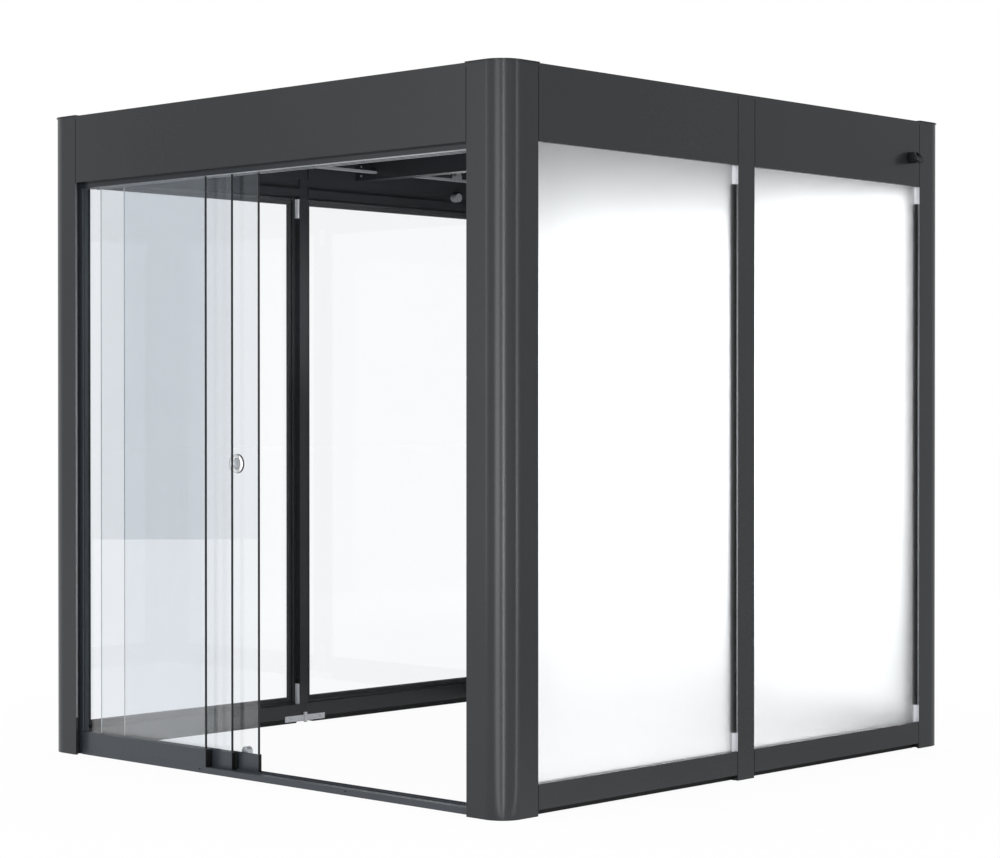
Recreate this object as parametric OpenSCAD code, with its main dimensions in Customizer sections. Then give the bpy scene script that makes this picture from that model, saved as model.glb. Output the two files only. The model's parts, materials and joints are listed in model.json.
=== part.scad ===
/* [Pavilion] */
// Width across the door face
width = 2367; // [2000:1:3200]
// Depth from the door face to the back face
depth = 2481; // [2000:1:3200]
// Height from the ground to the top of the posts' caps
height = 2400; // [2200:1:2800]
// Wall of every hollow aluminium section
section_wall = 3; // [2:0.5:5]
// Width of the shadow joint at the end of a fascia or rail
joint_w = 3; // [1:0.5:5]
// Depth of that shadow joint
joint_d = 2; // [1:0.5:2.5]

/* [Posts] */
// Width of a corner post on both of its faces
post_w = 162; // [140:1:220]
// Thickness of a post's two flanges
flange_t = 66; // [60:1:90]
// Radius of a post's rounded outer corner
post_r = 78; // [40:1:100]
// Outer lip beside every opening
lip_t = 9; // [6:0.5:14]
// Width of the glazing groove behind the lip
groove_w = 24; // [20:1:26]
// Depth of the glazing groove in a post
post_groove = 20; // [16:1:30]
// How far a post's inner leg stops short of a wall's opening
leg_setback = 28; // [22:1:36]
// Thickness of the cap on a post
cap_t = 3; // [2:0.5:6]
// How far a cap stands out past the post
cap_lip = 4; // [2:0.5:8]
// Thickness of the plate that closes a post's foot
foot_t = 6; // [4:1:12]

/* [Walls] */
// Height of the fascia beams
fascia_h = 238; // [180:1:320]
// Thickness of the roof's edge
roof_t = 12; // [8:1:20]
// Depth of the channel along a wall fascia's inner face
channel_d = 10; // [4:1:14]
// Face width of a middle post
mullion_w = 92.5; // [70:0.5:130]
// Width of the rib behind a middle post
rib_w = 45; // [30:1:60]
// Depth of a middle post with its rib
rib_d = 62; // [56:1:90]
// Height of a bottom rail
rail_h = 82; // [60:1:110]
// Height of the dark strip under a bottom rail
strip_h = 20; // [12:1:40]
// How far the dark strip sits back
strip_back = 30; // [15:1:40]
// Thickness of a wall pane
pane_t = 10; // [6:1:12]
// Depth of a pane's edge inside the frame
pane_bite = 15; // [10:1:16]
// How far the upright beads reach into the opening
bead_reach = 11; // [5:1:16]
// Thickness of the rims that hold the beads
rim_t = 10; // [6:1:14]

/* [Door] */
// Thickness of a door panel's glass
glass_t = 10; // [8:1:12]
// Distance from one track to the next
track_pitch = 26; // [26:1:34]
// Distance from the door face to the middle of the outer track
track_front = 43; // [42:1:60]
// Height of the sill track
sill_h = 22; // [18:1:40]
// Depth of the grooves in the sill track
groove_d = 8; // [6:1:14]
// Height of the head track
head_h = 20; // [18:1:40]
// Height of a sliding panel's bottom rail
panel_rail_h = 68; // [50:1:90]
// Thickness of a sliding panel's bottom rail
panel_rail_t = 14; // [13:0.5:16]
// Thickness of the fixed panel's bottom rail
fixed_rail_t = 28; // [20:1:28]
// Height of the fixed panel's bottom rail
fixed_rail_h = 63; // [50:1:90]
// How far a sliding rail runs past the glass at the leading edge
rail_nose = 5; // [3:0.5:8]
// How far the fixed rail runs past its glass
fixed_nose = 14; // [3:0.5:16]
// Depth of a panel's edge inside a jamb
jamb_bite = 36; // [20:1:40]
// How far two closed panels overlap
panel_overlap = 56; // [30:1:80]
// Step between the parked panels
park_step = 113.5; // [90:0.5:150]
// Running gap on each side of a moving panel
running_gap = 5; // [5:0.5:8]
// Diameter of the round door pull
pull_d = 68; // [56:1:90]
// Height of the door pull above the ground
pull_z = 1104; // [900:1:1200]
// Distance from the pull's middle to the leading edge
pull_in = 112; // [80:1:200]

/* [Hidden] */
$fn = 64;

paint = [0.27, 0.28, 0.29];
black = [0.1, 0.1, 0.1];
bare = [0.72, 0.73, 0.75];
clear = [0.85, 0.92, 0.92, 0.4];
frost = [0.95, 0.97, 0.98, 0.8];

post_top = height - cap_t;
roof_z = post_top - roof_t;
fascia_z = roof_z - fascia_h;
opening_w = width - 2 * post_w;
opening_d = depth - 2 * post_w;
pane_z0 = strip_h + rail_h;
groove_y1 = lip_t + groove_w;

tracks = [0, 1, 2];
sliding = [1, 2];
track_wall = 4;
slot_w = panel_rail_t + 2 * running_gap;
head_slot_w = glass_t + 2 * running_gap;
track_y0 = track_front - fixed_rail_t / 2;
track_y1 = track_front + 2 * track_pitch + slot_w / 2 + track_wall;
front_fascia_t = track_y1 + 3;
receiver_w = jamb_bite + rail_nose + running_gap + track_wall;
pocket_w = jamb_bite + track_wall;
panel_w = (opening_w + 2 * jamb_bite + 2 * panel_overlap) / 3;
panel_z0 = sill_h - groove_d;
rail_floor = 24;
sliding_glass_z0 = panel_z0 + rail_floor;
fixed_glass_z0 = sill_h + rail_floor;
head_web = 4;
glass_z1 = fascia_z - head_web - running_gap;
park_x = -opening_w / 2 - jamb_bite;

function track_y(i) = track_front + i * track_pitch;
function panel_x(i) = park_x + i * park_step;

// A wall's own frame: x runs along it, y runs inward from its outer face.
module on_front() { translate([0, -depth / 2, 0]) children(); }
module on_right() { translate([width / 2, 0, 0]) rotate(90) children(); }
module on_left() { translate([-width / 2, 0, 0]) rotate(-90) children(); }
module on_back() { translate([0, depth / 2, 0]) rotate(180) children(); }

// A block by its two opposite corners.
module block(low, high) { translate(low) cube(high - low); }

// Carries a section drawn in y and z along x.
module run(x0, x1) { translate([x0, 0, 0]) rotate([90, 0, 90]) linear_extrude(x1 - x0) children(); }

// The outer corner of a post, taken off to a round of the given radius.
module corner_waste(low, radius) {
    difference() {
        translate([low - 1, low - 1]) square(post_r - low + 1);
        translate([post_r, post_r]) circle(radius);
    }
}

// The post's L section, drawn from its outer corner; inset leaves a wall for the hollow.
module post_section(inset = 0) {
    difference() {
        translate([inset, inset]) square(post_w - 2 * inset);
        translate([flange_t - inset, flange_t - inset]) square(post_w);
        corner_waste(inset, post_r - inset);
    }
}

// The hollow stops short of the grooves, and of the door jamb's pocket where there is one.
module post_hollow(taken) {
    intersection() {
        post_section(section_wall);
        square([post_w - section_wall - taken, post_w - section_wall - leg_setback]);
    }
}

// The x flange belongs to the door face or the back wall, the y flange to a side wall.
module post(pocket = 0, at_back = false) {
    z1 = fascia_z + pane_bite;
    leg = post_w - leg_setback;
    difference() {
        linear_extrude(post_top) post_section();
        block([post_w - post_groove, lip_t, -1], [post_w + 1, groove_y1, z1]);
        block([lip_t, post_w - post_groove, -1], [groove_y1, post_w + 1, z1]);
        block([groove_y1, leg, strip_h], [flange_t + 1, post_w + 1, roof_z]);
        if (at_back) block([leg, groove_y1, strip_h], [post_w + 1, flange_t + 1, roof_z]);
        if (pocket > 0)
            block([post_w - pocket, groove_y1 - 1, -1], [post_w + 1, flange_t + 1, fascia_z]);
        translate([0, 0, foot_t]) linear_extrude(post_top)
            post_hollow(max(post_groove, pocket, at_back ? leg_setback : 0));
    }
}

module at_corner(right, back) {
    mirror([right ? 1 : 0, 0]) mirror([0, back ? 1 : 0])
        translate([-width / 2, -depth / 2, 0]) children();
}

module post_front_right() { color(paint) at_corner(true, false) post(); }
module post_front_left() { color(paint) at_corner(false, false) post(pocket_w); }
module post_back_right() { color(paint) at_corner(true, true) post(at_back = true); }
module post_back_left() { color(paint) at_corner(false, true) post(at_back = true); }

module post_cap() {
    difference() {
        translate([-cap_lip, -cap_lip]) square(post_w + 2 * cap_lip);
        translate([flange_t + cap_lip, flange_t + cap_lip]) square(post_w + cap_lip);
        corner_waste(-cap_lip, post_r + cap_lip);
    }
}

module post_caps() {
    color(paint) for (right = [false, true], back = [false, true])
        at_corner(right, back) translate([0, 0, post_top]) linear_extrude(cap_t) post_cap();
}

// Draws its children in both of a wall's bays, which mirror each other about the middle post.
module each_bay() {
    for (side = [0, 1]) mirror([side, 0]) children();
}

bay_x0 = mullion_w / 2;
function bay_x1(opening) = opening / 2;

// Shadow joints at both ends of an outer face
module end_joints(x0, x1, z0, z1) {
    for (x = [x0 - 1, x1 - joint_w])
        block([x, -1, z0 - 1], [x + joint_w + 1, joint_d, z1 + 1]);
}

module fascia_front() {
    x1 = opening_w / 2;
    wall = section_wall;
    color(paint) on_front() difference() {
        block([-x1, 0, fascia_z], [x1, front_fascia_t, roof_z]);
        block([-x1 - 1, wall, fascia_z + wall], [x1 + 1, front_fascia_t - wall, roof_z - wall]);
        end_joints(-x1, x1, fascia_z, roof_z);
    }
}

// A wall fascia's section: lip, glazing rebate, step, and a channel along the inner face.
fascia_step = 34;
channel_z0 = 64;
channel_h = 39;
module fascia_section() {
    z = fascia_z;
    difference() {
        polygon([[0, z], [lip_t, z], [lip_t, z + pane_bite], [groove_y1, z + pane_bite],
                 [groove_y1, z + fascia_step], [flange_t, z + fascia_step], [flange_t, roof_z],
                 [0, roof_z]]);
        translate([flange_t - channel_d, z + channel_z0]) square([channel_d + 1, channel_h]);
        translate([section_wall, z + fascia_step + section_wall])
            square([flange_t - channel_d - 2 * section_wall, fascia_h - fascia_step - 2 * section_wall]);
    }
}

// Carries a section between two members: its outer layer fits between their faces, and its
// inner layer goes on to the rib or the leg behind them.
module notched_run(x0, x1, inner_x0, z0, z1) {
    difference() {
        run(inner_x0, x1 + leg_setback) children();
        block([inner_x0 - 1, -1, z0 - 1], [x0, groove_y1, z1 + 1]);
        block([x1, -1, z0 - 1], [x1 + leg_setback + 1, groove_y1, z1 + 1]);
        end_joints(x0, x1, z0, z1);
    }
}

module wall_fascia(opening) {
    each_bay() notched_run(bay_x0, bay_x1(opening), rib_w / 2, fascia_z, roof_z) fascia_section();
}

module fascia_right() { color(paint) on_right() wall_fascia(opening_d); }
module fascia_left() { color(paint) on_left() wall_fascia(opening_d); }
module fascia_back() { color(paint) on_back() wall_fascia(opening_w); }

// A middle post: a face section grooved for the panes, and a hollow rib that stands on the rails.
rail_ledge_z = pane_z0 - pane_bite - rim_t;
web_w = mullion_w - 2 * pane_bite;
ear_w = mullion_w - 10;
ear_t = 3;
module mullion() {
    wall = section_wall;
    difference() {
        union() {
            block([-mullion_w / 2, 0, 0], [mullion_w / 2, groove_y1, roof_z]);
            block([-ear_w / 2, groove_y1, rail_ledge_z],
                  [ear_w / 2, groove_y1 + ear_t, fascia_z + fascia_step]);
            block([-rib_w / 2, groove_y1, rail_ledge_z], [rib_w / 2, rib_d, roof_z]);
        }
        for (side = [0, 1]) mirror([side, 0])
            block([web_w / 2, lip_t, pane_z0 - pane_bite], [mullion_w, groove_y1, fascia_z + pane_bite]);
        block([-web_w / 2 + wall, wall, foot_t], [web_w / 2 - wall, groove_y1 - wall, roof_z - wall]);
        block([-rib_w / 2 + wall, groove_y1 + wall, rail_ledge_z + wall],
              [rib_w / 2 - wall, rib_d - wall, roof_z - wall]);
    }
}

module mullion_right() { color(paint) on_right() mullion(); }
module mullion_left() { color(paint) on_left() mullion(); }
module mullion_back() { color(paint) on_back() mullion(); }

// Hollow bottom rails; their inner ledges meet behind the middle post.
rail_joint = 0.5;
module rail_section() {
    wall = section_wall;
    difference() {
        polygon([[0, strip_h], [0, pane_z0], [lip_t, pane_z0], [lip_t, pane_z0 - pane_bite],
                 [groove_y1, pane_z0 - pane_bite], [groove_y1, rail_ledge_z],
                 [flange_t, rail_ledge_z], [flange_t, strip_h]]);
        translate([wall, strip_h + wall])
            square([flange_t - 2 * wall, rail_ledge_z - strip_h - 2 * wall]);
    }
}

module bottom_rails(opening) {
    each_bay() notched_run(bay_x0, bay_x1(opening), rail_joint / 2, strip_h, pane_z0) rail_section();
}
module bottom_rails_right() { color(paint) on_right() bottom_rails(opening_d); }
module bottom_rails_left() { color(paint) on_left() bottom_rails(opening_d); }
module bottom_rails_back() { color(paint) on_back() bottom_rails(opening_w); }

module wall_strips(opening) {
    each_bay() block([bay_x0, strip_back, 0], [bay_x1(opening), flange_t, strip_h]);
}
module base_strips() {
    color(black) {
        on_right() wall_strips(opening_d);
        on_left() wall_strips(opening_d);
        on_back() wall_strips(opening_w);
    }
}

module panes(opening) {
    each_bay() block([bay_x0 - pane_bite, lip_t, pane_z0 - pane_bite],
                     [bay_x1(opening) + pane_bite, lip_t + pane_t, fascia_z + pane_bite]);
}
module frosted_panes_right() { color(frost) on_right() panes(opening_d); }
module clear_panes_left() { color(clear) on_left() panes(opening_d); }
module clear_panes_back() { color(clear) on_back() panes(opening_w); }

// A black ring that seals a pane from inside; clip_h leaves room for the clips at its corners.
module glazing_beads(opening, clip_h = 0) {
    x0 = bay_x0;
    x1 = bay_x1(opening);
    y0 = lip_t + pane_t;
    each_bay() difference() {
        block([x0 - pane_bite, y0, pane_z0 - pane_bite],
              [x1 + pane_bite, groove_y1, fascia_z + pane_bite]);
        block([x0 + bead_reach, y0 - 1, pane_z0], [x1 - bead_reach, groove_y1 + 1, fascia_z]);
        if (clip_h > 0) for (x = [x0 - 4, x1 - bead_reach - 1], z = [pane_z0, fascia_z - clip_h])
            block([x, y0 - 1, z], [x + bead_reach + 5, groove_y1 + 1, z + clip_h]);
    }
}
clip_h = 66;
module glazing_beads_right() { color(black) on_right() glazing_beads(opening_d, clip_h); }
module glazing_beads_left() { color(black) on_left() glazing_beads(opening_d); }
module glazing_beads_back() { color(black) on_back() glazing_beads(opening_w); }

// Rims that press the rings against the panes; level ones are chamfered, upright ones are square.
module level_rim(z, up) {
    y0 = groove_y1;
    polygon([[y0, z], [y0 + rim_t / 4, z], [y0 + rim_t, z + up * rim_t * 3 / 4],
             [y0 + rim_t, z + up * rim_t], [y0, z + up * rim_t]]);
}

module wall_rims(opening) {
    x1 = bay_x1(opening);
    z0 = pane_z0 - pane_bite;
    z1 = fascia_z + pane_bite;
    side = bay_x0 - ear_w / 2;
    each_bay() {
        run(ear_w / 2, x1 + side) level_rim(z0, -1);
        run(ear_w / 2, x1 + side) level_rim(z1, 1);
        for (x = [ear_w / 2, x1]) block([x, groove_y1, z0], [x + side, groove_y1 + rim_t, z1]);
    }
}

module glazing_rims() {
    color(paint) {
        on_right() wall_rims(opening_d);
        on_left() wall_rims(opening_d);
        on_back() wall_rims(opening_w);
    }
}

// Bare metal clips: next to the glass on the right wall, on one side of each rib elsewhere.
side_clip_y = [groove_y1 + ear_t, groove_y1 + ear_t + 22];
side_clip_w = 4;
module corner_clips(opening) {
    x1 = bay_x1(opening);
    y0 = lip_t + pane_t;
    each_bay() for (x = [bay_x0 - 4, x1 - bead_reach], z = [pane_z0, fascia_z - clip_h])
        block([x, y0, z], [x + bead_reach + 4, groove_y1, z + clip_h]);
}

module rib_clips() {
    for (z = [[rail_ledge_z, pane_z0 + 58], [fascia_z - 57, fascia_z + 21]])
        block([rib_w / 2, side_clip_y[0], z[0]], [rib_w / 2 + side_clip_w, side_clip_y[1], z[1]]);
}

module glass_clips() {
    color(bare) {
        on_right() corner_clips(opening_d);
        on_left() rib_clips();
        on_back() rib_clips();
    }
}

// A bare plate across the joint of the bottom rails, with a block over the joint.
plate_w = 219;
plate_z = [7, 31];
plate_t = 3;
nub_w = 14;
nub_t = 8;
module splice_plate() {
    block([-plate_w / 2, flange_t, plate_z[0]], [plate_w / 2, flange_t + plate_t, plate_z[1]]);
    block([-nub_w / 2, flange_t, 1], [nub_w / 2, flange_t + nub_t, 42]);
}
module splice_plates() {
    color(bare) {
        on_right() splice_plate();
        on_left() splice_plate();
        on_back() splice_plate();
    }
}

// The deck is three boards side by side, told apart by the shadow joints between them.
module roof_deck() {
    color(paint) difference() {
        translate([-width / 2, -depth / 2, roof_z]) cube([width, depth, roof_t]);
        for (x = [-width / 6, width / 6])
            block([x - joint_w / 2, -depth, height - cap_t - joint_d], [x + joint_w / 2, depth, height]);
        for (right = [false, true], back = [false, true]) at_corner(right, back)
            translate([-1, -1, roof_z - 1]) linear_extrude(roof_t + 2) difference() {
                square(post_w + 1);
                translate([flange_t + 1, flange_t + 1]) square(post_w);
            }
    }
}

// Two hollow beams carry the roof from side to side.
beam_y = 320;
beam_w = 60;
beam_h = 121;
module ceiling_beam() {
    wall = section_wall;
    x1 = width / 2 - flange_t;
    color(paint) for (y = [-beam_y, beam_y]) translate([0, y, 0]) difference() {
        block([-x1, -beam_w / 2, roof_z - beam_h], [x1, beam_w / 2, roof_z]);
        block([-x1 - 1, wall - beam_w / 2, roof_z - beam_h + wall],
              [x1 + 1, beam_w / 2 - wall, roof_z - wall]);
    }
}

// Slim bars run from front to back between the beams, near each side wall.
bar_x = 995;
bar_w = 20;
bar_h = 10;
bar_z = roof_z - 98;
module ceiling_bars() {
    near = -depth / 2 + front_fascia_t;
    far = depth / 2 - flange_t;
    half = beam_w / 2;
    stops = [[near, -beam_y - half], [half - beam_y, beam_y - half], [beam_y + half, far]];
    color(bare) for (x = [-bar_x, bar_x], s = stops)
        block([x - bar_w / 2, s[0], bar_z], [x + bar_w / 2, s[1], bar_z + bar_h]);
}

// Two round knobs, the lower one seated in the fascia's channel
boss_d = channel_h - 1;
boss_reach = 25;
boss_in = 187;
module boss(seat_y, z) {
    translate([-opening_d / 2 + boss_in, seat_y, fascia_z + z]) rotate([-90, 0, 0])
        cylinder(h = flange_t + boss_reach - seat_y, d = boss_d);
}

module round_bosses() {
    color(bare) on_left() {
        boss(flange_t - channel_d, channel_z0 + channel_h / 2);
        boss(flange_t, channel_z0 + channel_h + 72);
    }
}

// A short elbow that drains the roof through the right fascia.
spout_reach = 75;
spout_r = 13;
spout_bend_r = 26;
rosette_d = 44;
module rain_spout() {
    straight = spout_reach - spout_bend_r - spout_r;
    color(paint) on_right() translate([opening_d / 2 - 65, 0, fascia_z + 108]) rotate([90, 0, 0]) {
        cylinder(h = 5, d = rosette_d);
        cylinder(h = straight, r = spout_r);
        translate([0, -spout_bend_r, straight]) rotate([0, -90, 0])
            rotate_extrude(angle = 90) translate([spout_bend_r, 0]) circle(spout_r);
    }
}

// The door's fixed tracks and jambs
module head_track() {
    x1 = opening_w / 2;
    z0 = fascia_z - head_h;
    color(paint) on_front() difference() {
        block([-x1, track_y0, z0], [x1, track_y1, fascia_z]);
        for (i = tracks) block([-x1 - 1, track_y(i) - head_slot_w / 2, z0 - 1],
                               [x1 + 1, track_y(i) + head_slot_w / 2, fascia_z - head_web]);
    }
}

// Rain leaves the sill through these holes in its front.
drain_d = 7;
drain_x = [-333, 427];
module sill_track() {
    x1 = opening_w / 2;
    color(paint) on_front() difference() {
        block([-x1, track_y0, 0], [x1, track_y1, sill_h]);
        for (i = sliding) block([-x1 - 1, track_y(i) - slot_w / 2, panel_z0],
                                [x1 + 1, track_y(i) + slot_w / 2, sill_h + 1]);
        for (x = drain_x) translate([x, 0, panel_z0]) rotate([-90, 0, 0])
            cylinder(h = track_y(1), d = drain_d);
    }
}

module jamb_left() {
    x0 = -opening_w / 2 - pocket_w;
    y = track_front;
    color(paint) on_front() difference() {
        block([x0, groove_y1, 0], [-opening_w / 2, flange_t, fascia_z]);
        block([x0 + track_wall, y - glass_t / 2, fixed_glass_z0],
              [-opening_w / 2 + 1, y + glass_t / 2, fascia_z + 1]);
    }
}

module jamb_right() {
    x0 = opening_w / 2;
    y = track_y(2);
    color(paint) on_front() difference() {
        block([x0, flange_t, 0], [x0 + receiver_w, track_y1, fascia_z]);
        block([x0 - 1, y - slot_w / 2, panel_z0],
              [x0 + receiver_w - track_wall, y + slot_w / 2, fascia_z + 1]);
    }
}

module panel_glass(i, z0) {
    color(clear) on_front() block([panel_x(i), track_y(i) - glass_t / 2, z0],
                                  [panel_x(i) + panel_w, track_y(i) + glass_t / 2, glass_z1]);
}
module outer_glass() { panel_glass(0, fixed_glass_z0); }
module middle_glass() { panel_glass(1, sliding_glass_z0); }

// A bottom rail with a groove along its top for the glass.
module panel_rail(x0, x1, y, thick, z0, high, glass_z0) {
    color(paint) on_front() difference() {
        block([x0, y - thick / 2, z0], [x1, y + thick / 2, z0 + high]);
        block([x0 - 1, y - glass_t / 2, glass_z0], [x1 + 1, y + glass_t / 2, z0 + high + 1]);
    }
}

module sliding_rail(i) {
    panel_rail(panel_x(i), panel_x(i) + panel_w + rail_nose, track_y(i), panel_rail_t,
               panel_z0, panel_rail_h, sliding_glass_z0);
}
module outer_rail() {
    panel_rail(-opening_w / 2, panel_x(0) + panel_w + fixed_nose, track_front, fixed_rail_t,
               sill_h, fixed_rail_h, fixed_glass_z0);
}
module middle_rail() { sliding_rail(1); }
module inner_rail() { sliding_rail(2); }

module pull_axis() {
    on_front() translate([panel_x(2) + panel_w - pull_in, track_y(2), pull_z]) rotate([90, 0, 0]) children();
}
pull_bore = 50;
module inner_glass() {
    difference() {
        panel_glass(2, sliding_glass_z0);
        pull_axis() cylinder(h = 3 * glass_t, d = pull_bore, center = true);
    }
}

pull_rim = 5;
pull_opening = pull_bore - 8;
module door_pull() {
    color(bare) pull_axis() difference() {
        union() {
            cylinder(h = glass_t, d = pull_bore, center = true);
            for (side = [-1, 1]) translate([0, 0, side * (glass_t + pull_rim) / 2])
                cylinder(h = pull_rim, d = pull_d, center = true);
        }
        for (side = [-1, 1]) translate([0, 0, side * (glass_t / 2 + pull_rim)])
            cylinder(h = 2 * (pull_rim + 3), d = pull_opening, center = true);
    }
}

// A round-topped bolt housing behind the inner rail
catch_w = 34;
catch_t = 22;
catch_in = 77;
module foot_catch() {
    x = panel_x(2) + panel_w - catch_in;
    z = panel_z0 + panel_rail_h + 3;
    color(bare) on_front() translate([x, track_y(2) + panel_rail_t / 2, 0]) {
        block([-catch_w / 2, 0, panel_z0 + 16], [catch_w / 2, catch_t, z]);
        translate([0, 0, z]) rotate([-90, 0, 0]) cylinder(h = catch_t, d = catch_w);
    }
}

post_front_right();
post_front_left();
post_back_right();
post_back_left();
post_caps();
fascia_front();
fascia_right();
fascia_left();
fascia_back();
mullion_right();
mullion_left();
mullion_back();
bottom_rails_right();
bottom_rails_left();
bottom_rails_back();
base_strips();
frosted_panes_right();
clear_panes_left();
clear_panes_back();
glazing_beads_right();
glazing_beads_left();
glazing_beads_back();
glazing_rims();
glass_clips();
splice_plates();
roof_deck();
ceiling_beam();
ceiling_bars();
round_bosses();
rain_spout();
head_track();
sill_track();
jamb_left();
jamb_right();
outer_glass();
middle_glass();
inner_glass();
outer_rail();
middle_rail();
inner_rail();
foot_catch();
door_pull();
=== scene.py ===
# %% [markdown]
# # A glazed pavilion with a stacking glass door
#
# This lesson dresses a small free-standing pavilion: four rounded corner posts,
# a deep fascia, clear and satin-etched panes, and three glass door panels that
# slide behind each other. Its frame was made as CAD solids, so every size is
# already right. What is left is what the eye judges first: finishes, glass,
# light, and the small parts that are screwed on last.
#
# The CAD solids are loaded as one fixed frame. Each piece made here takes its
# place from them, so nothing has to be fitted by hand.

# %% Loading the frame
import json
import math
import bpy
import numpy as np
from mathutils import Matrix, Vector


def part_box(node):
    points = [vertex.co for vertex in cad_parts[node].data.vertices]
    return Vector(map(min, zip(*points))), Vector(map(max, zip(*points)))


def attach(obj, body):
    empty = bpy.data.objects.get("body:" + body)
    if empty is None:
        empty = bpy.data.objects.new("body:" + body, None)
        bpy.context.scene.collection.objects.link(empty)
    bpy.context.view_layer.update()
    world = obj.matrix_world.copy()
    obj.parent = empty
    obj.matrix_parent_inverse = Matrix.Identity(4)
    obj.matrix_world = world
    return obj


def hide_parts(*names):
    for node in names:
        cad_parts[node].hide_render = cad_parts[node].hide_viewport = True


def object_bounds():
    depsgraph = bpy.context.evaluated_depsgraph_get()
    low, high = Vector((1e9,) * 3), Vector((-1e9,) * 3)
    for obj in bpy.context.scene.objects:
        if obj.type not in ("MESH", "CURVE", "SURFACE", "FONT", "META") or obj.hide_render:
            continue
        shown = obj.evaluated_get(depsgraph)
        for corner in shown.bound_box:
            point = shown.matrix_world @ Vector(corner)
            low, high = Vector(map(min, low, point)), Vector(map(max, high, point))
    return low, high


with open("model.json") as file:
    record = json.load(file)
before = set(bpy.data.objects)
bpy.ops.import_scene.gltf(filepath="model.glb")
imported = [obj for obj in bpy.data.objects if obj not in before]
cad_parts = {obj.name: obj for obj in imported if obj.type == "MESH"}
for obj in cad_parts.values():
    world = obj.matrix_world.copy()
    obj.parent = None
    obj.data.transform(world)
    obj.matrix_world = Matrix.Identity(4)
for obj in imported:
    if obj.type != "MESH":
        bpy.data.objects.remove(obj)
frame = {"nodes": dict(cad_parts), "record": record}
cad_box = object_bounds()
parts = frame["nodes"]
scene = bpy.context.scene
print(len(parts), "CAD pieces, from", list(cad_box[0]), "to", list(cad_box[1]))

# %% [markdown]
# ## Colour
#
# A paint chart or a colour picker gives sRGB hex values, but a renderer adds and
# multiplies light, so it needs linear values. Typing linear numbers by eye is the
# other way, and it is hard to compare with a chart. One function turns every hex
# value in this file.


# %% From a hex value to linear light
def linear(chart):
    """Each channel is taken from 0..255 to 0..1; a low one is divided by 12.92,
    and any other is ((c + 0.055) / 1.055) to the power 2.4."""
    c = np.array([int(chart[i:i + 2], 16) for i in (1, 3, 5)]) / 255
    low, high = c / 12.92, ((c + 0.055) / 1.055) ** 2.4
    return (*np.where(c <= 0.04045, low, high).tolist(), 1.0)


print("anthracite in linear light:", [round(v, 3) for v in linear("#383b3f")])


# %% [markdown]
# ## One way to add a shader node
#
# A finish is a small tree of nodes. Written out by hand each node takes four or
# five lines. Here one function makes any node: the plain settings come as named
# arguments, and the sockets as a dictionary whose values are numbers, colours, or
# the output of another node, which is then linked. Four kinds of node come back so
# often that each has a short name of its own, which gives back its output.


# %% The node helpers
MM = 0.001


def add(tree, kind, sockets={}, **settings):
    """Makes a node of this kind, sets it, and fills or links its input sockets."""
    node = tree.nodes.new(kind)
    for name, value in settings.items():
        setattr(node, name, value)
    for name, value in sockets.items():
        if isinstance(value, bpy.types.NodeSocket):
            tree.links.new(value, node.inputs[name])
        else:
            node.inputs[name].default_value = value
    return node


def noise(tree, place, grain, detail):
    """Noise between 0 and 1 whose grains are about this many mm across."""
    return add(tree, "ShaderNodeTexNoise", {"Vector": place, "Scale": 1 / (grain * MM),
                                            "Detail": detail}).outputs["Fac"]


def blend(tree, share, first, second):
    """The first colour where the share is 0, the second where it is 1, a mix between."""
    return add(tree, "ShaderNodeMix", {0: share, 6: first, 7: second},
               data_type="RGBA").outputs[2]


def sums(tree, operation, *values):
    """One step of arithmetic on numbers and outputs."""
    return add(tree, "ShaderNodeMath", dict(enumerate(values)), operation=operation).outputs[0]


def scaled(tree, value, low, high, start=0.0, end=1.0):
    """A value that runs from start to end is made to run from low to high."""
    return add(tree, "ShaderNodeMapRange", {
        "Value": value, "From Min": start, "From Max": end,
        "To Min": low, "To Max": high}).outputs[0]


def new_finish(name):
    """An empty material and its tree."""
    material = bpy.data.materials.new(name)
    material.use_nodes = True
    material.node_tree.nodes.clear()
    return material, material.node_tree


# %% [markdown]
# ## The camera
#
# A building this size is usually shown from eye level at one corner, so that two
# walls and the open door are seen at once. The lens is long, and the camera stands
# well back: a wide lens from close by would make the upright posts lean and the far
# corners shrink. The camera's tilt is almost nil, which keeps upright edges upright.

# %% Standing the camera
EYE = Vector((6.4195, -6.8008, 1.289))
TURN, TILT = math.radians(43.36), math.radians(-0.41)
camera = bpy.data.objects.new("camera", bpy.data.cameras.new("camera"))
camera.data.lens = 87.81
camera.data.sensor_width = 36
camera.location = EYE
look = Vector((-math.sin(TURN) * math.cos(TILT), math.cos(TURN) * math.cos(TILT),
               math.sin(TILT)))
camera.rotation_euler = look.to_track_quat("-Z", "Y").to_euler()
scene.collection.objects.link(camera)
scene.camera = camera
scene.view_settings.view_transform = "Standard"
print("eye height", round(EYE.z, 2), "m, looking along", [round(v, 3) for v in look])

# %% [markdown]
# ## Surfaces from numpy
#
# Every new piece in this file is a surface worked out with numpy: a function of two
# parameters gives a grid of points, and one helper turns the grid into faces. The
# other way is to model by hand with the mouse or with mesh operators, which is hard
# to read back and hard to change. A grid can be closed around either direction, and
# rows that shrink to a point are merged, so poles and seams leave no hole.


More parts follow.
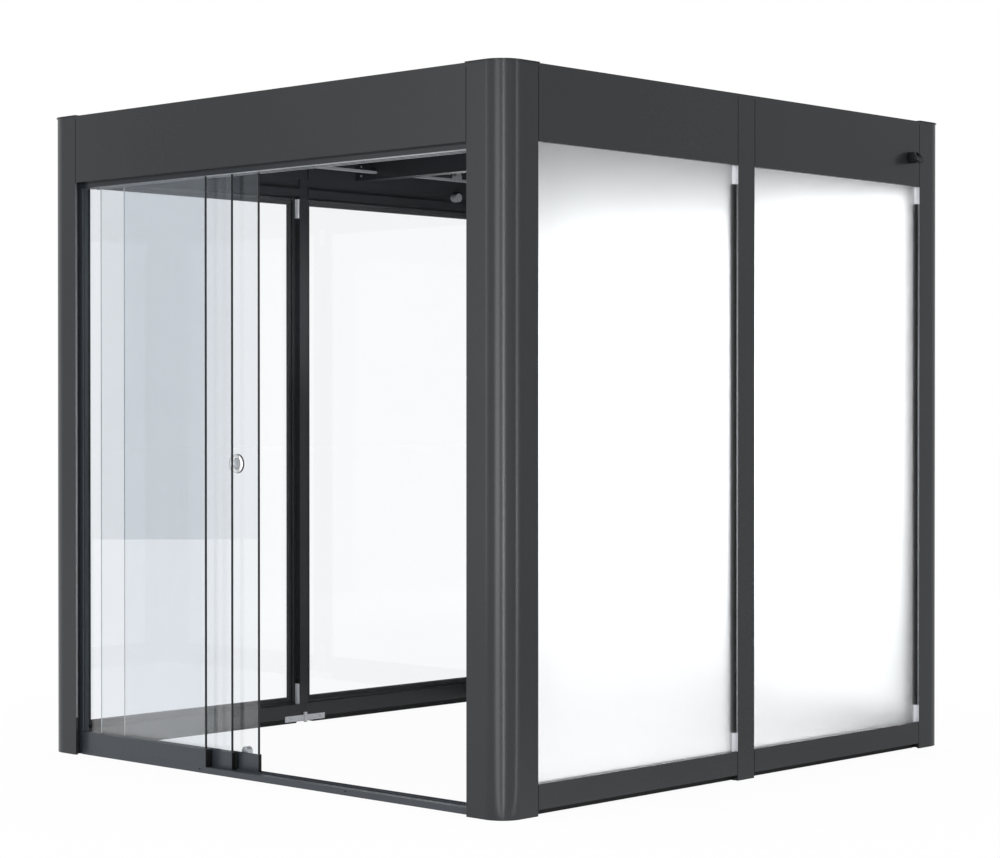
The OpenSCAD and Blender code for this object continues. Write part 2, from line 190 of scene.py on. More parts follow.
# %% From grids of points to a piece
def skin(name, grids, finish, around=(False, True)):
    """grids holds one or more grids of points of one size. Faces join each point (i, j) of a
    grid to (i+1, j), (i+1, j+1) and (i, j+1); around says in which direction the last row
    joins the first."""
    grids = np.asarray(grids, dtype=float)
    rows, columns = grids.shape[-3:-1]
    number = np.arange(grids.size // 3).reshape(-1, rows, columns)
    down, across = np.roll(number, -1, 1), np.roll(number, -1, 2)
    corners = np.stack((number, down, np.roll(down, -1, 2), across), -1)
    faces = corners[:, :None if around[0] else -1, :None if around[1] else -1].reshape(-1, 4)
    mesh = bpy.data.meshes.new(name)
    mesh.from_pydata(grids.reshape(-1, 3).tolist(), [], faces.tolist())
    mesh.materials.append(finish)
    piece = bpy.data.objects.new(name, mesh)
    scene.collection.objects.link(piece)
    close_and_face_out(mesh)
    return piece


# %% [markdown]
# Merging doubles makes a row that shrank to one point into a true pole. It leaves
# collapsed faces behind, which dissolve, and then the normals can be turned outward.


# %% Closing a mesh
import bmesh


def close_and_face_out(mesh, gap=1e-6):
    """Merges points closer than the gap, drops faces with no area, and recalculates normals."""
    form = bmesh.new()
    form.from_mesh(mesh)
    bmesh.ops.remove_doubles(form, verts=form.verts, dist=gap)
    bmesh.ops.dissolve_degenerate(form, dist=gap, edges=form.edges)
    bmesh.ops.recalc_face_normals(form, faces=form.faces)
    for face in form.faces:
        face.smooth = True
    form.to_mesh(mesh)
    form.free()


# %% [markdown]
# ## Floor and daylight
#
# The pavilion stands on a pale seamless floor under even, soft light, as in a white
# studio. White could come from a very strong lamp, but that would also bleach the
# object. Instead the surroundings keep a plain strength of 1, which is white. The
# floor is a real matt surface for the light that it throws on the object. For the
# eye, for reflections and for what is seen through glass it is mixed with a plain
# glow, so it looks white and still carries the object's soft shadow. The back of a
# studio is darker than its front; in reflections alone both the floor and the sky
# behind the pavilion are dimmed, so faces that mirror it keep their depth.
#
# A studio also has tall strip lights. For each one, a bright wedge of painted light is
# laid into the floor's glow, along the floor towards the front corner. The wedge is a
# painted reflection. It shows in reflections only, and it carries the line that a strip
# draws on the rounded post down to the foot.

# %% The strip lights' places
STRIP_HEIGHT = 5.5
STRIPS = {"strip_behind_camera": (-41, 9.0, 1.0, 132),
          "strip_beside_camera": (-70, 9.0, 3.4, 150),
          "strip_on_the_right": (26, 8.0, 0.5, 60)}
SPOUT_REACH, LAMP_LEVEL = 0.07, 1.2
corner = Vector((cad_box[1][0] - SPOUT_REACH, cad_box[0][1], LAMP_LEVEL))
for name, (bearing, distance, width, power) in STRIPS.items():
    strength = round(power / width / STRIP_HEIGHT, 1)
    print(name, "at", bearing, "degrees,", strength, "W per square metre")

# %% The floor's finish
FLOOR_GLOW, BACK_DIM = 0.94, 0.4
DIM_FROM, DIM_TO = -1.2, 0.8


def in_mirrors(tree):
    """1 for a ray that has met a glossy surface on its way, and 0 for any other."""
    depth = add(tree, "ShaderNodeLightPath").outputs["Glossy Depth"]
    return sums(tree, "GREATER_THAN", depth, 0.5)


studio_floor, tree = new_finish("matt_white_studio_floor")
ray = add(tree, "ShaderNodeLightPath").outputs
mirrored = sums(tree, "MAXIMUM", ray["Is Camera Ray"], ray["Is Glossy Ray"])
seen = sums(tree, "MAXIMUM", mirrored, ray["Is Transmission Ray"])
place = add(tree, "ShaderNodeTexCoord").outputs["Object"]
paint = blend(tree, noise(tree, place, 900, 3.0), linear("#f8f8f8"), linear("#fcfcfc"))
matt = add(tree, "ShaderNodeBsdfDiffuse", {"Color": paint, "Roughness": 0.5})
lit = add(tree, "ShaderNodeBsdfDiffuse", {"Color": linear("#ffffff")})
spot = add(tree, "ShaderNodeSeparateXYZ", {0: place}).outputs
from_corner = [sums(tree, "SUBTRACT", spot[axis], corner[i]) for i, axis in enumerate("XY")]
turn = sums(tree, "ARCTAN2", from_corner[1], from_corner[0])
back_dim_and_painted_wedges = scaled(tree, spot["Y"], 0.0, -BACK_DIM, DIM_FROM, DIM_TO)
# Each strip adds a wedge of painted light to the floor's glow, seen in mirrors only.
for bearing, distance, width, power in STRIPS.values():
    half_angle, gain = width / distance / 2, power / (math.pi * width * STRIP_HEIGHT)
    wedge = sums(tree, "COMPARE", turn, math.radians(bearing), half_angle)
    back_dim_and_painted_wedges = sums(tree, "MULTIPLY_ADD", wedge, gain, back_dim_and_painted_wedges)
level = sums(tree, "MULTIPLY_ADD", back_dim_and_painted_wedges, in_mirrors(tree), 1.0)
glow = add(tree, "ShaderNodeEmission", {"Color": linear("#ffffff"), "Strength": level})
shown = add(tree, "ShaderNodeMixShader", {0: FLOOR_GLOW, 1: lit.outputs[0], 2: glow.outputs[0]})
both = add(tree, "ShaderNodeMixShader", {0: seen, 1: matt.outputs[0], 2: shown.outputs[0]})
add(tree, "ShaderNodeOutputMaterial", {"Surface": both.outputs[0]})

# %% The floor's surface
REACH = 60.0
along = np.linspace(-REACH, REACH, 9)
u, v = np.meshgrid(along, along, indexing="ij")
floor = skin("studio_floor", np.stack((u, v, 0 * u), -1), studio_floor, around=(False, False))
print("floor", 2 * REACH, "m across")

# %% Even daylight
sky = bpy.data.worlds.new("even_white_studio")
sky.use_nodes = True
sky.node_tree.nodes.clear()
tree = sky.node_tree
SKY_DIM_FROM, SKY_DIM_TO = -0.1, 0.3
place = add(tree, "ShaderNodeTexCoord").outputs["Generated"]
way = add(tree, "ShaderNodeSeparateXYZ", {0: place}).outputs
dim = scaled(tree, way["Y"], 0.0, -BACK_DIM, SKY_DIM_FROM, SKY_DIM_TO)
level = sums(tree, "MULTIPLY_ADD", dim, in_mirrors(tree), 1.0)
glow = add(tree, "ShaderNodeBackground", {"Color": linear("#ffffff"), "Strength": level})
add(tree, "ShaderNodeOutputWorld", {"Surface": glow.outputs[0]})
scene.world = sky

# %% [markdown]
# ## Strip lights and a grey flag
#
# Even light alone makes a dark satin post look like flat card. A product
# photographer stands tall strip lights around it, and each one draws an upright
# line where the rounded corner turns towards it. Their power stays low, because
# they are there for the line and not for the level. A soft lamp under the roof fills
# the dark between the beams. A grey flag does the opposite job for glass: hung where
# the panes mirror it, it keeps their upper part deep and clear, and below its edge
# they mirror the white floor. It shows only in mirrors.


# %% Tall strip lights
def strip_light(name, bearing, distance, width, power, height=STRIP_HEIGHT):
    """A strip stands at this bearing from the front corner, and faces it."""
    out = Vector((math.cos(math.radians(bearing)), math.sin(math.radians(bearing)), 0))
    lamp = bpy.data.lights.new(name, "AREA")
    lamp.shape = "RECTANGLE"
    lamp.size, lamp.size_y, lamp.energy = width, height, power
    stand = bpy.data.objects.new(name, lamp)
    stand.location = corner + distance * out
    stand.rotation_euler = (-out).to_track_quat("-Z", "Y").to_euler()
    scene.collection.objects.link(stand)
    stand.visible_camera = stand.visible_transmission = False
    return stand


for name, place_and_power in STRIPS.items():
    strip_light(name, *place_and_power)
strip_light("strip_on_the_left", -126, 9.0, 0.8, 45)
backlight = strip_light("soft_light_behind_the_etched_wall", 125, 10.0, 3.4, 135)
backlight.visible_transmission, backlight.visible_glossy = True, False
FILL_SIDE, FILL_POWER, FILL_PLACE, FACING_UP = 1.4, 32, (-0.1, 0, 1.35), (math.pi, 0, 0)
fill = strip_light("fill_under_the_roof", 0, 0.0, FILL_SIDE, FILL_POWER, FILL_SIDE)
fill.location, fill.rotation_euler = FILL_PLACE, FACING_UP
fill.visible_glossy = False

# %% The grey flag
flag_finish, tree = new_finish("grey_felt_flag")
place = add(tree, "ShaderNodeTexCoord").outputs["Object"]
felt = blend(tree, noise(tree, place, 60, 2.0), linear("#adb2b7"), linear("#b5babf"))
flat = add(tree, "ShaderNodeEmission", {"Color": felt, "Strength": 1.0})
clear = add(tree, "ShaderNodeBsdfTransparent")
both = add(tree, "ShaderNodeMixShader", {0: in_mirrors(tree), 1: clear.outputs[0],
                                         2: flat.outputs[0]})
add(tree, "ShaderNodeOutputMaterial", {"Surface": both.outputs[0]})

mirrored_look = Vector((look.x, -look.y, 0)).normalized()
mirrored_eye = Vector((EYE.x, 2 * parts["fascia_front"].bound_box[0][1] - EYE.y, 0))
across = Vector((mirrored_look.y, -mirrored_look.x, 0))
FLAG_AWAY, FLAG_ASIDE, FLAG_HALF_WIDTH, FLAG_TALL = 24.5, 3.3, 1.1, 12
middle = mirrored_eye + FLAG_AWAY * mirrored_look + FLAG_ASIDE * across
u, v = np.meshgrid(np.linspace(-FLAG_HALF_WIDTH, FLAG_HALF_WIDTH, 3),
                   np.linspace(0, FLAG_TALL, 3), indexing="ij")
flag = skin("grey_flag", np.stack((middle.x + u * across.x, middle.y + u * across.y, v), -1),
            flag_finish, around=(False, False))
flag.visible_camera = flag.visible_diffuse = flag.visible_shadow = False
print("flag stands", round(middle.length, 1), "m from the middle of the pavilion")

# %% [markdown]
# ## Textured powder coat
#
# The frame is aluminium with a fine-texture polyester powder coat. The powder is
# sprayed on dry and melts in an oven into a skin of tiny rounded grains, so the
# surface is satin, hides finger marks and breaks a highlight into a soft glow. The
# grain is about half a millimetre, which is too fine to show on a building, so it is
# drawn at a few millimetres and very low. A picture of paint would blur close up and
# repeat; noise on the piece's own coordinates has no seam and any size. The door's
# sections are coated smooth, the head track is the glossiest of them, and the sill
# has been trodden dull.


# %% Powder coat
def powder_coat(name, shade, tint, grain, height, roughness):
    """Two noises: a grain that roughens and dents the skin, and a wide cloud that
    moves the colour a little between two shades."""
    material, tree = new_finish(name)
    place = add(tree, "ShaderNodeTexCoord").outputs["Object"]
    fine, wide = noise(tree, place, grain, 2.0), noise(tree, place, 350, 3.0)
    ramp = scaled(tree, sums(tree, "MULTIPLY", fine, wide), 0.0, 1.0, 0.05, 0.5)
    colour = blend(tree, ramp, linear(shade), linear(tint))
    satin = scaled(tree, fine, roughness - 0.03, roughness + 0.03, 0.3, 0.7)
    dents = add(tree, "ShaderNodeBump", {"Height": fine, "Strength": 0.5,
                                         "Distance": height * MM})
    skin_of_paint = add(tree, "ShaderNodeBsdfPrincipled", {
        "Base Color": colour, "Roughness": satin, "IOR": 1.45,
        "Normal": dents.outputs["Normal"]})
    add(tree, "ShaderNodeOutputMaterial", {"Surface": skin_of_paint.outputs[0]})
    return material


frame_paint = powder_coat("textured_powder_coat_anthracite", "#212326", "#26282b",
                          3.0, 0.008, 0.24)
door_paint = powder_coat("smooth_powder_coat_anthracite", "#373c42", "#3a4046",
                         6.0, 0.002, 0.3)
track_paint = powder_coat("glossier_powder_coat_of_the_head_track", "#25282c", "#292c31",
                          6.0, 0.001, 0.15)
sill_paint = powder_coat("trodden_powder_coat_of_the_sill", "#373c42", "#3d4248",
                         6.0, 0.002, 0.42)

# %% [markdown]
# ## Rubber and plastic
#
# The panes sit in extruded EPDM rubber, and the feet of the walls stand on strips of
# black plastic. Both are near black, but not equally: rubber has a dry bloom that
# lifts it a little and scatters all light, while moulded plastic keeps a weak gloss.
# The clips and joint plates are die-cast zinc. Their pale colour is a painted sheen: it
# stands in for the bright reflection of their bare metal. It scatters light as the plastic
# does, only paler, so the same tree makes it. The ceiling bars and knobs have only a
# dull grey passivation, and are darker.


# %% Matt materials
def matt_finish(name, shade, bloom, grain, roughness, ior=1.5):
    """A noise lays a pale bloom over the shade and changes the gloss with it."""
    material, tree = new_finish(name)
    place = add(tree, "ShaderNodeTexCoord").outputs["Object"]
    dust = noise(tree, place, grain, 4.0)
    surface = add(tree, "ShaderNodeBsdfPrincipled", {
        "Base Color": blend(tree, dust, linear(shade), linear(bloom)),
        "Roughness": scaled(tree, dust, roughness - 0.08, roughness + 0.08), "IOR": ior})
    add(tree, "ShaderNodeOutputMaterial", {"Surface": surface.outputs[0]})
    return material


black_rubber = matt_finish("epdm_glazing_rubber", "#232325", "#2e2e32", 25, 0.8)
black_plastic = matt_finish("moulded_black_polyamide", "#101112", "#171819", 12, 0.6, 1.3)
# Pale zinc: its pale colour paints the bright sheen of bare metal.
pale_zinc_painted_sheen = matt_finish("die_cast_zinc_painted_sheen", "#c3c4ca", "#d0d1d6", 9, 0.45)
dull_zinc = matt_finish("dull_passivated_zinc", "#67696d", "#75777b", 9, 0.45)

# %% [markdown]
# ## Bare aluminium and polished steel
#
# Aluminium that comes out of the press keeps faint die lines along its length. They
# are hundredths of a millimetre apart; here they are drawn at a millimetre and a
# half. Noise that is squeezed across the bar and stretched along it makes them. The
# polished steel pull has almost no pattern, only the soft haze that hands leave. Its
# dish is brushed, and its steel is darker than the rim around it: the darker colour
# paints the shade inside the recess.


# %% Metals
def drawn_metal(name, shade, tint, lines, length, roughness, spread):
    """Noise squeezed to the line spacing across and stretched to the line length
    along X and Y sets the roughness and shades the metal."""
    material, tree = new_finish(name)
    place = add(tree, "ShaderNodeTexCoord").outputs["Object"]
    squeeze = add(tree, "ShaderNodeMapping", {"Vector": place, "Scale": (
        1 / (length * MM), 1 / (length * MM), 1 / (lines * MM))})
    streak = noise(tree, squeeze.outputs[0], 1 / MM, 3.0)  # the squeeze has set its size
    surface = add(tree, "ShaderNodeBsdfPrincipled", {
        "Base Color": blend(tree, streak, linear(shade), linear(tint)), "Metallic": 1.0,
        "Roughness": scaled(tree, streak, roughness, roughness + spread, 0.3, 0.7)})
    add(tree, "ShaderNodeOutputMaterial", {"Surface": surface.outputs[0]})
    return material


bare_aluminium = drawn_metal("mill_finish_aluminium", "#a9aeb3", "#c3c7cb", 1.5, 60, 0.32, 0.14)
polished_steel = drawn_metal("polished_stainless_steel", "#f6f7f7", "#fcfcfc", 20, 20, 0.26, 0.06)
dish_steel_painted_shade = drawn_metal("brushed_steel_painted_shade", "#afb2b5", "#c4c7ca", 1.5, 20, 0.3, 0.1)
# The bead's grey is lighter than the paint, and this lighter grey is a painted highlight along
# the recess edges.
bead_painted_highlight = drawn_metal("grey_aluminium_painted_highlight", "#85888c", "#93969a", 1.5, 60, 0.4, 0.1)

# %% [markdown]
# ## Clear glass
#
# Toughened float glass is clear across its faces and deep green-grey along its edge,
# because there the light has come through centimetres of it. A transparent sheet with
# a reflection is cheaper, but it has no edge and no thickness. So the panes are solid
# and refract, and only light from lamps and from matt surfaces is let straight
# through, which keeps the room inside bright without noise. The ground edge isn't
# clear at all. On the door panes it is paler: that colour is partly the glass's own and
# partly a painted reflection of the bright polished edge. A slow cloud in the tint
# stands for the film of dust on every pane.


# %% Float glass
def open_to_lamps(tree, glass, tint):
    """Light from lamps and matt surfaces goes straight through; other rays meet the glass."""
    ray = add(tree, "ShaderNodeLightPath").outputs
    lamp = sums(tree, "MAXIMUM", ray["Is Shadow Ray"], ray["Is Diffuse Ray"])
    open_way = add(tree, "ShaderNodeBsdfTransparent", {"Color": linear(tint)})
    both = add(tree, "ShaderNodeMixShader", {0: lamp, 1: glass.outputs[0],
                                             2: open_way.outputs[0]})
    add(tree, "ShaderNodeOutputMaterial", {"Surface": both.outputs[0]})


def float_glass(name, face_tint, dust_tint, edge_colour_and_sheen, face_axis, ior=1.6):
    """The face's own direction picks the finish: where the surface faces along
    face_axis it is clear, and elsewhere it is the ground edge."""
    material, tree = new_finish(name)
    place = add(tree, "ShaderNodeTexCoord").outputs["Object"]
    dusty = blend(tree, noise(tree, place, 400, 2.0), linear(face_tint), linear(dust_tint))
    normal = add(tree, "ShaderNodeNewGeometry").outputs["Normal"]
    facing = add(tree, "ShaderNodeSeparateXYZ", {0: normal}).outputs[face_axis]
    face = sums(tree, "GREATER_THAN", sums(tree, "ABSOLUTE", facing), 0.5)
    glass = add(tree, "ShaderNodeBsdfPrincipled", {
        "Base Color": blend(tree, face, linear(edge_colour_and_sheen), dusty), "Transmission Weight": face,
        "Roughness": scaled(tree, face, 0.35, 0.0), "IOR": ior})
    open_to_lamps(tree, glass, "#f4f6f6")
    return material


# The door panes' pale edge colour is partly a painted reflection of their polished edge.
door_glass = float_glass("toughened_door_glass", "#f6f8fa", "#f4f6f8", "#a9b4b6", "Y")
side_glass = float_glass("toughened_side_glass", "#fdfeff", "#fbfcfe", "#5c6868", "X", 1.45)
back_glass = float_glass("toughened_back_glass", "#fdfeff", "#fbfcfe", "#5c6868", "Y", 1.45)

# %% [markdown]
# ## Satin-etched glass
#
# On the closed side the panes are etched with acid until their face is a field of
# tiny pits. Light goes through, but every ray leaves in its own direction, so the
# room behind is only a soft glow that darkens near a beam. Rough transmission does
# just that. A white paint with some transparency would look alike from the front and
# wrong wherever something stands close behind.


# %% Etched glass
etched_glass, tree = new_finish("acid_etched_glass")
place = add(tree, "ShaderNodeTexCoord").outputs["Object"]
pits, bath = noise(tree, place, 2.5, 2.0), noise(tree, place, 500, 2.0)
dents = add(tree, "ShaderNodeBump", {"Height": pits, "Strength": 0.2, "Distance": 0.05 * MM})
glass = add(tree, "ShaderNodeBsdfPrincipled", {
    "Base Color": blend(tree, bath, linear("#fbfdfe"), linear("#ffffff")),
    "Transmission Weight": 1.0, "Roughness": scaled(tree, bath, 0.44, 0.5),
    "IOR": 1.3, "Normal": dents.outputs["Normal"]})
open_to_lamps(tree, glass, "#ececec")

# %% [markdown]
# ## Dressing the frame
#
# The record says which finish each CAD piece has, so the pieces are dressed from it
# and not one by one. A few get a finish of their own. A pane's finish has to know
# which way its face looks, so the clear panes of each wall differ. The tracks and the
# jambs differ in gloss or colour from others of their slot. So do the small zinc pieces:
# the clips and plates are pale, a painted sheen of bare metal, and the ceiling bars and
# knobs are dull grey.

# %% Each CAD piece gets its finish
finishes = {"frame_paint": frame_paint, "door_paint": door_paint,
            "frosted_glass": etched_glass, "clear_glass": door_glass,
            "black_rubber": black_rubber, "black_plastic": black_plastic,
            "bare_aluminium": bare_aluminium, "polished_steel": polished_steel}
own_finish = {"clear_panes_left": side_glass, "clear_panes_back": back_glass}
own_finish.update({"head_track": track_paint, "sill_track": sill_paint})
own_finish.update(dict.fromkeys(("jamb_left", "jamb_right"), door_paint))
own_finish.update(dict.fromkeys(("glass_clips", "splice_plates"), pale_zinc_painted_sheen))
own_finish.update(dict.fromkeys(("ceiling_bars", "round_bosses"), dull_zinc))
for sub in frame["record"]["subparts"]:
    node = parts[sub["node"]]
    for slot in node.material_slots:
        slot.material = own_finish.get(sub["node"], finishes[sub["material_slot"]])

# %% [markdown]
# ## Turned pieces
#
# A round pull, a screw head and a pipe's mouth are all turned: a profile runs round
# an axis. A real screw also has a six-sided recess, so the ring can be bent from a
# circle into a hexagon, which a lathe couldn't do and one more number can.


# %% A profile around an axis
def turned(profile, centre, out, sides=48):
    """profile rows hold a radius and a height in mm, and how six-sided the ring is, from 0
    to 1. The point at angle a is centre + height * out + radius * bend * (cos a, sin a) across
    out, where bend goes from 1 for a circle to cos 30 / cos(a mod 60 - 30) for a hexagon."""
    radius, height, six = np.array(profile, dtype=float).T[:, :, None]
    a = np.linspace(0, 2 * math.pi, sides, endpoint=False)[None]
    bend = 1 + six * (math.cos(math.pi / 6) / np.cos(a % (math.pi / 3) - math.pi / 6) - 1)
    out = np.array(out, dtype=float)
    side = np.cross(out, (0, 0, 1) if abs(out[2]) < 0.9 else (1, 0, 0))
    ring = radius * bend
    return (np.array(centre) + MM * (height[..., None] * out
                                     + (ring * np.cos(a))[..., None] * side
                                     + (ring * np.sin(a))[..., None] * np.cross(out, side)))


# %% [markdown]
# The pull is pressed from polished steel and goes right through the glass. From each
# side it shows a crowned ring with a shallow dish in it for the finger. A thin rubber
# washer keeps the steel off the glass and draws the dark line around it.

# %% The dished pull
low, high = (np.array(c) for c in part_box("door_pull"))
pull_centre, pane_face = (low + high) / 2, 5.0
DISH = 19.4
half = np.array([(0, 1.6, 0), (8, 1.7, 0), (13, 2.0, 0), (16, 2.8, 0), (18.2, 4.6, 0),
                 (DISH, 7.0, 0), (20.6, 8.9, 0), (22.5, 9.7, 0), (26, 9.9, 0), (30, 9.4, 0),
                 (32.4, 8.0, 0), (33.4, 6.4, 0), (33.4, 5.5, 0), (24.6, 5.5, 0)])
whole = np.concatenate((half, half[::-1] * (1, -1, 1)))
pull = skin("dished_door_pull", turned(whole, pull_centre, (0, -1, 0), 96), polished_steel)
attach(pull, "inner_panel")
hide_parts("door_pull")
# The dish gets the darker brushed steel, whose darker colour paints the shade inside the recess.
pull.data.materials.append(dish_steel_painted_shade)
face_middle = np.empty(3 * len(pull.data.polygons))
pull.data.polygons.foreach_get("center", face_middle)
from_axis = (face_middle.reshape(-1, 3) - pull_centre)[:, ::2] / MM
pull.data.polygons.foreach_set("material_index", (np.hypot(*from_axis.T) < DISH).astype(int))
ring = [(25.2, 0.1, 0), (34, 0.1, 0), (34, 0.4, 0), (25.2, 0.4, 0), (25.2, 0.1, 0)]
washers = skin("pull_washers", [turned(ring, pull_centre - (0, side * pane_face * MM, 0),
                                       (0, -side, 0), 96) for side in (1, -1)], black_rubber)
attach(washers, "inner_panel")
across, deep = 2 * whole[:, 0].max(), whole[:, 1].max() - whole[0, 1]
print("pull", round(across, 1), "mm across, dish", round(deep, 1), "mm deep")

# %% [markdown]
# ## Blocks with rounded edges
#
# Caps, seals and catches are small moulded blocks. A plain box has edges sharper than
# any moulding, and they catch no light. A Bevel modifier would round them as well;
# here the rounding is in the formula. A small sphere is cut into its eight octants,
# and each is pushed out to its own corner of the block.


# %% A rounded block
def rounded(low, high, radius, steps=3):
    """low and high are opposite corners in mm. point = middle + octant signs * (half size -
    radius) + radius * direction; the first and last rows are the middles of the two ends,
    which close the block."""
    low, high = np.array(low, dtype=float), np.array(high, dtype=float)
    quarter = np.linspace(0, math.pi / 2, steps + 1)
    polar = np.concatenate((quarter, quarter + math.pi / 2))[:, None]
    turn = np.concatenate([quarter + k * math.pi / 2 for k in range(4)])[None]
    quadrant = np.repeat(np.arange(4), steps + 1)[None]
    sign_x = np.where((quadrant == 0) | (quadrant == 3), 1, -1)
    sign_y = np.where(quadrant < 2, 1, -1)
    sign_z = np.repeat((1, -1), steps + 1)[:, None]
    push = (high - low) / 2 - radius
    x = sign_x * push[0] + radius * np.sin(polar) * np.cos(turn)
    y = sign_y * push[1] + radius * np.sin(polar) * np.sin(turn)
    z = sign_z * push[2] + radius * np.cos(polar) + 0 * turn
    shell = np.stack((x, y, z), -1)
    ends = np.zeros((2, 1, shell.shape[1], 3))
    ends[:, ..., 2] = np.array((push[2] + radius, -push[2] - radius))[:, None, None]
    return MM * ((low + high) / 2 + np.concatenate((ends[0], shell, ends[1])))


def corners(name):
    """The lowest and highest corner of a CAD piece, in mm."""
    return [np.array(c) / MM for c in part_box(name)]


# %% [markdown]
# ## Seals, caps and the catch of the door
#
# The leading edge of each door panel carries a slim black seal, and each bottom rail
# ends in a moulded black cap. Behind the middle rail sits a catch: when the inner
# panel has gone its own length, the catch takes the middle panel along. The seals
# and caps ride on their own panel, so they slide with it.

# %% Door seals, rail caps and the drag catch
SEAL, CAP = 1.2, 1.5
for name, body in (("outer", "pavilion"), ("middle", "middle_panel"), ("inner", "inner_panel")):
    glass_low, glass_high = corners(name + "_glass")
    rail_low, rail_high = corners(name + "_rail")
    seal = skin(name + "_panel_seal",
                rounded((glass_high[0], glass_low[1] + 0.2, rail_high[2] + 0.2),
                        (glass_high[0] + SEAL, glass_high[1] - 0.2, glass_high[2]), 0.5),
                black_rubber)
    cap = skin(name + "_rail_cap",
               rounded((rail_high[0], rail_low[1] + 0.3, rail_low[2] + 1),
                       (rail_high[0] + CAP, rail_high[1] - 0.3, rail_high[2] - 0.2), 0.6),
               black_plastic)
    for piece, slot in ((seal, "black_rubber"), (cap, "black_plastic")):
        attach(piece, body)
rail_low, rail_high = corners("middle_rail")
catch = skin("drag_catch",
             rounded((rail_high[0] - 35, rail_high[1], rail_low[2] + 10),
                     (rail_high[0] + 9, rail_high[1] + 8, rail_high[2] - 1), 2.0), black_plastic)
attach(catch, "middle_panel")
print("seals", SEAL, "mm, caps", CAP, "mm")

# %% [markdown]
# ## Beads in the recesses
#
# Where a pane or a door jamb sits back from a post's face, a grey aluminium bead covers
# the step. It is a few millimetres wide and lighter than the paint. Its light grey is a
# painted highlight: the thin bright line that the edge of the step catches beside the
# opening. Beside the door it starts 140 mm above the floor. Beside the etched panes the
# bead stops short of both ends, where a clip holds the glass; the clip's pale colour is
# a painted sheen.

# %% Beads with a painted highlight
LIP, BEAD, CLIP = 9.0, 0.8, 66
DOOR_BEAD_FOOT, INSET, CLIP_DEPTH, CLIP_NOSE = 140, 0.6, 26, 1.6
post_low, post_high = corners("post_front_left")
edge_x, edge_y = corners("mullion_right")[1][0], corners("mullion_right")[0][1]
back_y = corners("post_back_right")[0][1]
front_y = post_low[1]
rail_top, head = corners("bottom_rails_right")[1][2], corners("fascia_right")[0][2]
# Thin light strips that paint the highlight along each recess edge.
beads = skin("recess_beads_painted_highlight", [
    rounded((post_high[0], front_y + INSET, DOOR_BEAD_FOOT),
            (post_high[0] + BEAD, front_y + LIP - INSET, head - 1), 0.3),
    *(rounded((edge_x - LIP + INSET, y - BEAD, rail_top + CLIP),
              (edge_x - INSET, y, head - CLIP), 0.3) for y in (edge_y, back_y))], bead_painted_highlight)
clip_places = [(y, z) for y in (edge_y, back_y) for z in (rail_top + 0.5, head - CLIP + 0.5)]
# The clip lips are pale, and this pale colour is a painted sheen of bare metal.
clip_lips = skin("clip_lips", [rounded((edge_x - LIP + 0.2, y - CLIP_DEPTH, z),
                                       (edge_x - LIP + 2.2, y, z + CLIP - 1), 0.8)
                               for y, z in clip_places]
                 + [rounded((edge_x - LIP + 0.2, y - CLIP_NOSE, z),
                            (edge_x - INSET, y, z + CLIP - 1), 0.6)
                    for y, z in clip_places], pale_zinc_painted_sheen)
for piece in (beads, clip_lips):
    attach(piece, "pavilion")
print("beads", BEAD, "mm thick in steps of", LIP, "mm")

# %% [markdown]
# ## The lining of the head track
#
# Under the head track runs a bright aluminium lining, in strips between the slots
# that the panes slide in. The outer slot is needed only over its own fixed pane, so
# a cover strip closes the rest. Seen from below at a flat angle the lining mirrors
# the pale floor and draws a thin light line under the dark header.

# %% Track lining
PAST_GLASS, PAST_PANEL, PROUD, SUNK = 3, 6, 0.6, 0.2
track_low, track_high = corners("head_track")
slots_y = [[corners(name + "_glass")[end][1] + PAST_GLASS * (2 * end - 1) for end in (0, 1)]
           for name in ("outer", "middle", "inner")]
rims = [track_low[1] + 1, *np.ravel(slots_y), track_high[1] - 0.2]
left, right, under = track_low[0] + 1, track_high[0] - 1, track_low[2]
cover_left = corners("outer_glass")[1][0] + PAST_PANEL
strips = [rounded((start, a, under - PROUD), (right, b, under + SUNK), 0.2) for start, a, b in (
    *((left, a, b) for a, b in zip(rims[::2], rims[1::2])), (cover_left, *slots_y[0]))]
lining = skin("track_lining", strips, bare_aluminium)
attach(lining, "pavilion")
print("lining strips from", [round(float(v), 1) for v in rims])

# %% [markdown]
# ## Screws
#
# The plates over the rail joints and the ends of the ceiling beams are held by pan
# head screws with a six-sided recess. They are small, but an eye that finds them
# believes the rest. All of one group are one mesh: the same profile, moved.

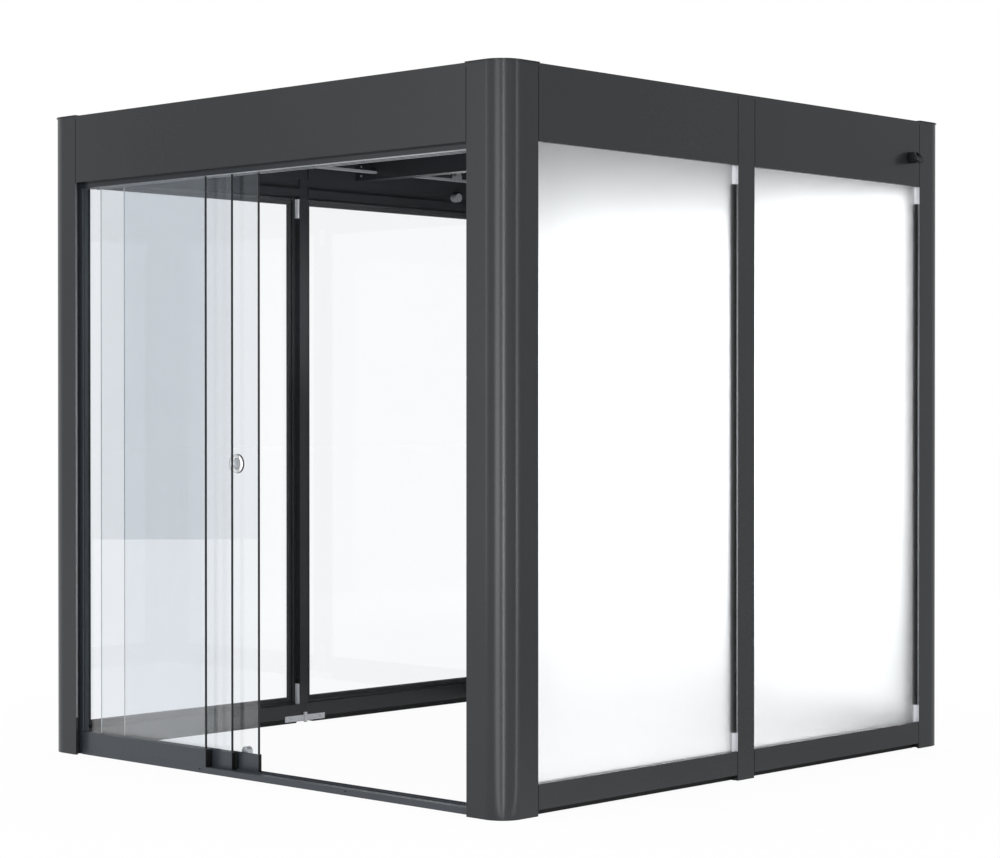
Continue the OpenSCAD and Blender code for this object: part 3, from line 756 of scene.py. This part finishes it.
# %% Pan head screws
pan_head = [(0, -0.6, 1), (1.7, -0.6, 1), (1.7, 1.6, 1), (2.2, 1.95, 0.4), (3.4, 1.7, 0),
            (4.5, 1.0, 0), (4.8, 0.0, 0), (4.8, -0.4, 0)]
plate_high, beam_high = corners("splice_plates")[1], corners("ceiling_beam")[1]
PLATE_Z, PLATE_REACH, PLATE_THICK = 19, 82.5, 3
BEAM_Y, BEAM_HALF, BEAM_END, BEAM_SCREW_Z = 320, 30, 35, (2283, 2323)
plate_screws = [((side * (plate_high[0] - PLATE_THICK), along, PLATE_Z), (-side, 0, 0))
                for side in (-1, 1) for along in (-PLATE_REACH, PLATE_REACH)]
plate_screws += [((along, plate_high[1] - PLATE_THICK, PLATE_Z), (0, -1, 0))
                 for along in (-PLATE_REACH, PLATE_REACH)]
beam_screws = [((side * (beam_high[0] - BEAM_END), y_mid + face * BEAM_HALF, z), (0, face, 0))
               for side in (-1, 1) for y_mid in (-BEAM_Y, BEAM_Y) for face in (-1, 1)
               for z in BEAM_SCREW_Z]
screws = skin("pan_head_screws", [turned(pan_head, MM * np.array(at), out, 24)
                                  for at, out in plate_screws + beam_screws], bare_aluminium)
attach(screws, "pavilion")
print(len(plate_screws + beam_screws), "screws,", len(screws.data.polygons), "faces")

# %% [markdown]
# ## The rain spout and the rib slots
#
# Rain leaves the roof through a short aluminium pipe whose end is cut on a slant, so
# that the lower lip throws the water clear of the wall. The slant is one more term in
# the turned profile: the rings at the mouth lean, those at the wall don't. Above each
# foot clip the rib has two punched slots. They are so small that they are not cut:
# thin black pieces are laid on the rib, and their black is painted shade, the dark
# inside each slot.

# %% Slanted spout and rib slots
SLANT = 0.75
spout_low, spout_high = corners("rain_spout")
root = np.array((spout_low[0], *(spout_low + spout_high)[1:] / 2))
pipe = [(0, 8, 0), (19.2, 8, 0), (19.2, 44.6, 1), (19.8, 45.8, 1), (21.2, 45.8, 1),
        (21.8, 44.6, 1), (21.8, 0, 0), (0, 0, 0)]
rings = turned([(r, h, 0) for r, h, mouth in pipe], MM * root, (1, 0, 0))
leans = np.array([mouth for r, h, mouth in pipe])[:, None]
rings[..., 0] -= SLANT * leans * (rings[..., 2] - MM * root[2])
spout = skin("slanted_rain_spout", rings, frame_paint)
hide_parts("rain_spout")
RIB_FACES = {"left": ((-1147.5, -23.1), (-1125.5, -22.3)),
             "back": ((22.3, 1182.5), (23.1, 1204.5))}
SLOTS = ((163, 13), (181, 6))
# Thin black pieces paint the shade inside each slot.
slots = skin("rib_slots_painted_shade", [rounded((*low, z), (*high, z + tall), 0.2)
                           for low, high in RIB_FACES.values() for z, tall in SLOTS],
             black_plastic)
for piece, slot in ((spout, "frame_paint"), (slots, "black_plastic")):
    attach(piece, "pavilion")
spout_reach = float(rings[..., 0].max()) / MM - root[0]
print("spout reaches", round(spout_reach, 1), "mm out of the fascia")
